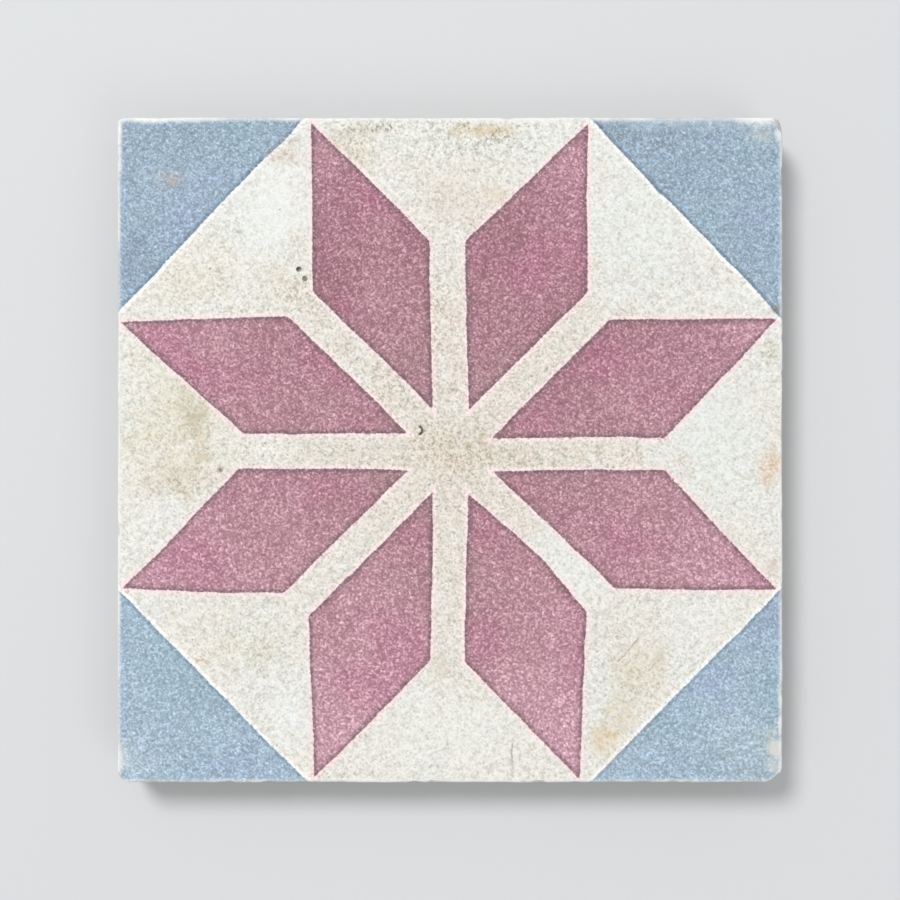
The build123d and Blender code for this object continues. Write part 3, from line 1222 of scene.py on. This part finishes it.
def mortarPattern(tree, place):
    # grey cement and sharp sand, pressed dry: grains of all shades and open pores in a dull paste, the
    # pores darkened with painted shade
    clouds = addNode(tree, "TexNoise", {}, {
        "Vector": place, "Scale": 1 / bodyMortar["cloudSize"], "Detail": 5.0}, "Fac")
    cloudy = addNode(tree, "MapRange", {}, {"Value": clouds, "From Min": 0.36, "From Max": 0.64})
    colour = addNode(tree, "Mix", ofColours, {
        "Factor": cloudy, "A": toLinear(bodyMortar["paste"]), "B": toLinear(bodyMortar["pasteLight"])})
    fine = addNode(tree, "TexNoise", {}, {
        "Vector": place, "Scale": 1 / bodyMortar["fineGrit"], "Detail": 3.0, "Roughness": 0.7}, "Fac")
    value = addNode(tree, "Math", timesPlus, {0: fine, 1: 0.9, 2: 0.55})
    colour = addNode(tree, "HueSaturation", {}, {"Value": value, "Color": colour})
    relief = fine
    for size, share in ((1.0, 0.75), (2.1, 0.55)):
        spacing = bodyMortar["grit"] * size
        sand = addNode(tree, "TexVoronoi", {}, {"Vector": place, "Scale": 1 / spacing})
        shade = addNode(tree, "SeparateColor", {}, {"Color": sand.node.outputs["Color"]})
        edge = addNode(tree, "Math", timesPlus, {0: shade.node.outputs["Green"], 1: 0.3, 2: 0.12})
        apart = addNode(tree, "Math", {"operation": "SUBTRACT"}, {0: sand, 1: edge})
        grain = addNode(tree, "MapRange", smoothly, {
            "Value": apart, "From Min": 0.09, "From Max": 0.0, "To Max": share})
        grainColour = addNode(tree, "Mix", ofColours, {
            "Factor": shade, "A": toLinear(bodyMortar["sandDark"]), "B": toLinear(bodyMortar["sandLight"])})
        colour = addNode(tree, "Mix", ofColours, {"Factor": grain, "A": colour, "B": grainColour})
        relief = addNode(tree, "Math", timesPlus, {0: grain, 1: 0.35, 2: relief})
    pores = addNode(tree, "TexVoronoi", {}, {"Vector": place, "Scale": 1 / bodyMortar["poreSpacing"]})
    chance = addNode(tree, "SeparateColor", {}, {"Color": pores.node.outputs["Color"]})
    chosen = addNode(tree, "Math", {"operation": "GREATER_THAN"}, {0: chance, 1: 0.55})
    shadedPore = addNode(tree, "MapRange", smoothly, {
        "Value": pores, "From Min": 0.15, "From Max": 0.07, "To Max": 0.9})
    shadedPore = addNode(tree, "Math", times, {0: shadedPore, 1: chosen})
    # the pores are darkened with painted shade
    colour = addNode(tree, "Mix", ofColours, {
        "Factor": shadedPore, "A": colour, "B": toLinear(bodyMortar["shadedPore"])})
    relief = addNode(tree, "Math", timesPlus, {0: shadedPore, 1: -1.2, 2: relief})
    return colour, relief


def makePressedEdge():
    # Cement mortar as it left the steel mould: a coloured layer over sandy grey, dull and a bit smeared
    material, tree, place = newMaterial("pressedEdge")
    paste, grain, mottle = pastePattern(tree, place, "3D")
    mortar, mortarRelief = mortarPattern(tree, place)
    height = addNode(tree, "SeparateXYZ", {}, {0: place}, "Z")
    wander = addNode(tree, "Math", timesPlus, {
        0: mottle, 1: bodyMortar["layerWander"] * 2, 2: -bodyMortar["layerWander"]})
    height = addNode(tree, "Math", {"operation": "ADD"}, {0: height, 1: wander})
    layer = tileTop - bodyMortar["layerDepth"]
    blend = bodyMortar["layerBlend"]
    under = addNode(tree, "MapRange", smoothly, {
        "Value": height, "From Min": layer + blend, "From Max": layer - blend})
    colour = addNode(tree, "Mix", ofColours, {"Factor": under, "A": paste, "B": mortar})

    # thin smears of fine cement that the mould wiped down over the sand
    long = addNode(tree, "VectorMath", {"operation": "MULTIPLY"}, {0: place, 1: (1, 1, 0.22)})
    smears = addNode(tree, "TexNoise", {}, {
        "Vector": long, "Scale": 1 / bodyMortar["smearWidth"], "Detail": 4.0}, "Fac")
    smears = addNode(tree, "MapRange", {}, {
        "Value": smears, "From Min": 0.53, "From Max": 0.66, "To Max": 0.45})
    colour = addNode(tree, "Mix", ofColours, {
        "Factor": smears, "A": colour, "B": toLinear(bodyMortar["smear"])})
    relief = addNode(tree, "Mix", ofNumbers, {"Factor": under, "A": grain, "B": mortarRelief})
    bump = addNode(tree, "Bump", {}, {
        "Strength": 0.7, "Distance": bodyMortar["sideRelief"] * mm, "Height": relief})
    surface = addNode(tree, "BsdfPrincipled", {}, {
        "Base Color": colour, "Roughness": bodyMortar["sideRoughness"], "Normal": bump, "IOR": cementIor})
    addNode(tree, "OutputMaterial", {}, {"Surface": surface})
    return material


def makeBackMortar():
    # Grey cement and sharp sand, pressed dry against a steel plate: dull and gritty with open pores,
    # darkened with painted shade
    material, tree, place = newMaterial("backMortar")
    colour, relief = mortarPattern(tree, place)
    bump = addNode(tree, "Bump", {}, {
        "Strength": 0.8, "Distance": bodyMortar["backRelief"] * mm, "Height": relief})
    surface = addNode(tree, "BsdfPrincipled", {}, {
        "Base Color": colour, "Roughness": bodyMortar["backRoughness"], "Normal": bump, "IOR": cementIor})
    addNode(tree, "OutputMaterial", {}, {"Surface": surface})
    return material


def addTile():
    mesh, regions = makeTileMesh()
    materials = {"face": makePigmentedCement(), "side": makePressedEdge(), "back": makeBackMortar()}
    for material in materials.values():
        mesh.materials.append(material)
    order = list(materials)
    mesh.polygons.foreach_set("material_index", [order.index(region) for region in regions])
    tile = bpy.data.objects.new("cementTile", mesh)
    bpy.context.collection.objects.link(tile)
    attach(tile, "root")
    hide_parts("tile")
    return tile


scatterPinHoles()
tile = addTile()
triangleCount = sum(len(face.vertices) - 2 for face in tile.data.polygons)
print("tile made:", len(tile.data.vertices), "points,", triangleCount, "triangles")


# Floor, light and surroundings
studio = {
    "floorColour": "#dcdee0",
    "floorHalf": 6000.0,
    "fadeFrom": 450.0,       # past here the floor fades into the backdrop
    "fadeTo": 1500.0,
    "keyAt": (-1020.0, 1320.0, 2490.0),
    "keySize": 900.0,
    "keyPower": 50.0,
    "fillAt": (900.0, -1100.0, 1500.0),
    "fillSize": 1200.0,
    "fillPower": 4.0,
    "skyStrength": 0.50,
}


def seenDirectly(tree):
    # 1 for rays from the camera, and for what gloss or glass would show
    rays = addNode(tree, "LightPath", {}, {}, "Is Camera Ray")
    seen = rays
    for name in ("Is Glossy Ray", "Is Transmission Ray"):
        seen = addNode(tree, "Math", {"operation": "MAXIMUM"}, {0: seen, 1: rays.node.outputs[name]})
    return seen


def addFloor():
    half = studio["floorHalf"] * mm
    mesh = bpy.data.meshes.new("floor")
    corners = [(-half, -half, 0), (half, -half, 0), (half, half, 0), (-half, half, 0)]
    mesh.from_pydata(corners, [], [(0, 1, 2, 3)])
    material, tree, place = newMaterial("paleCard")
    card = addNode(tree, "BsdfPrincipled", {}, {
        "Base Color": toLinear(studio["floorColour"]), "Roughness": 0.9})
    backdrop = addNode(tree, "Emission", {}, {"Color": toLinear(studio["floorColour"]), "Strength": 1.0})
    away = addNode(tree, "VectorMath", {"operation": "LENGTH"}, {0: place}, "Value")
    far = addNode(tree, "MapRange", smoothly, {
        "Value": away, "From Min": studio["fadeFrom"], "From Max": studio["fadeTo"]})
    far = addNode(tree, "Math", times, {0: far, 1: seenDirectly(tree)})
    surface = addNode(tree, "MixShader", {}, {0: far, 1: card, 2: backdrop})
    addNode(tree, "OutputMaterial", {}, {"Surface": surface})
    mesh.materials.append(material)
    floor = bpy.data.objects.new("floor", mesh)
    bpy.context.collection.objects.link(floor)


def addAreaLight(name, place, size, power):
    data = bpy.data.lights.new(name, "AREA")
    data.shape = "DISK"
    data.size = size * mm
    data.energy = power
    light = bpy.data.objects.new(name, data)
    bpy.context.collection.objects.link(light)
    light.location = Vector(place) * mm
    light.rotation_mode = "QUATERNION"
    light.rotation_quaternion = (-Vector(place)).to_track_quat("-Z", "Y")


def addSky():
    world = bpy.data.worlds.new("sky")
    bpy.context.scene.world = world
    world.use_nodes = True
    tree = world.node_tree
    tree.nodes.clear()
    light = addNode(tree, "Background", {}, {"Color": (1, 1, 1, 1), "Strength": studio["skyStrength"]})
    backdrop = addNode(tree, "Background", {}, {"Color": toLinear(studio["floorColour"]), "Strength": 1.0})
    surface = addNode(tree, "MixShader", {}, {0: seenDirectly(tree), 1: light, 2: backdrop})
    addNode(tree, "OutputWorld", {}, {"Surface": surface})


addFloor()
addAreaLight("keyLight", studio["keyAt"], studio["keySize"], studio["keyPower"])
addAreaLight("fillLight", studio["fillAt"], studio["fillSize"], studio["fillPower"])
addSky()
bpy.context.scene.view_settings.view_transform = "Standard"
print("studio lit")
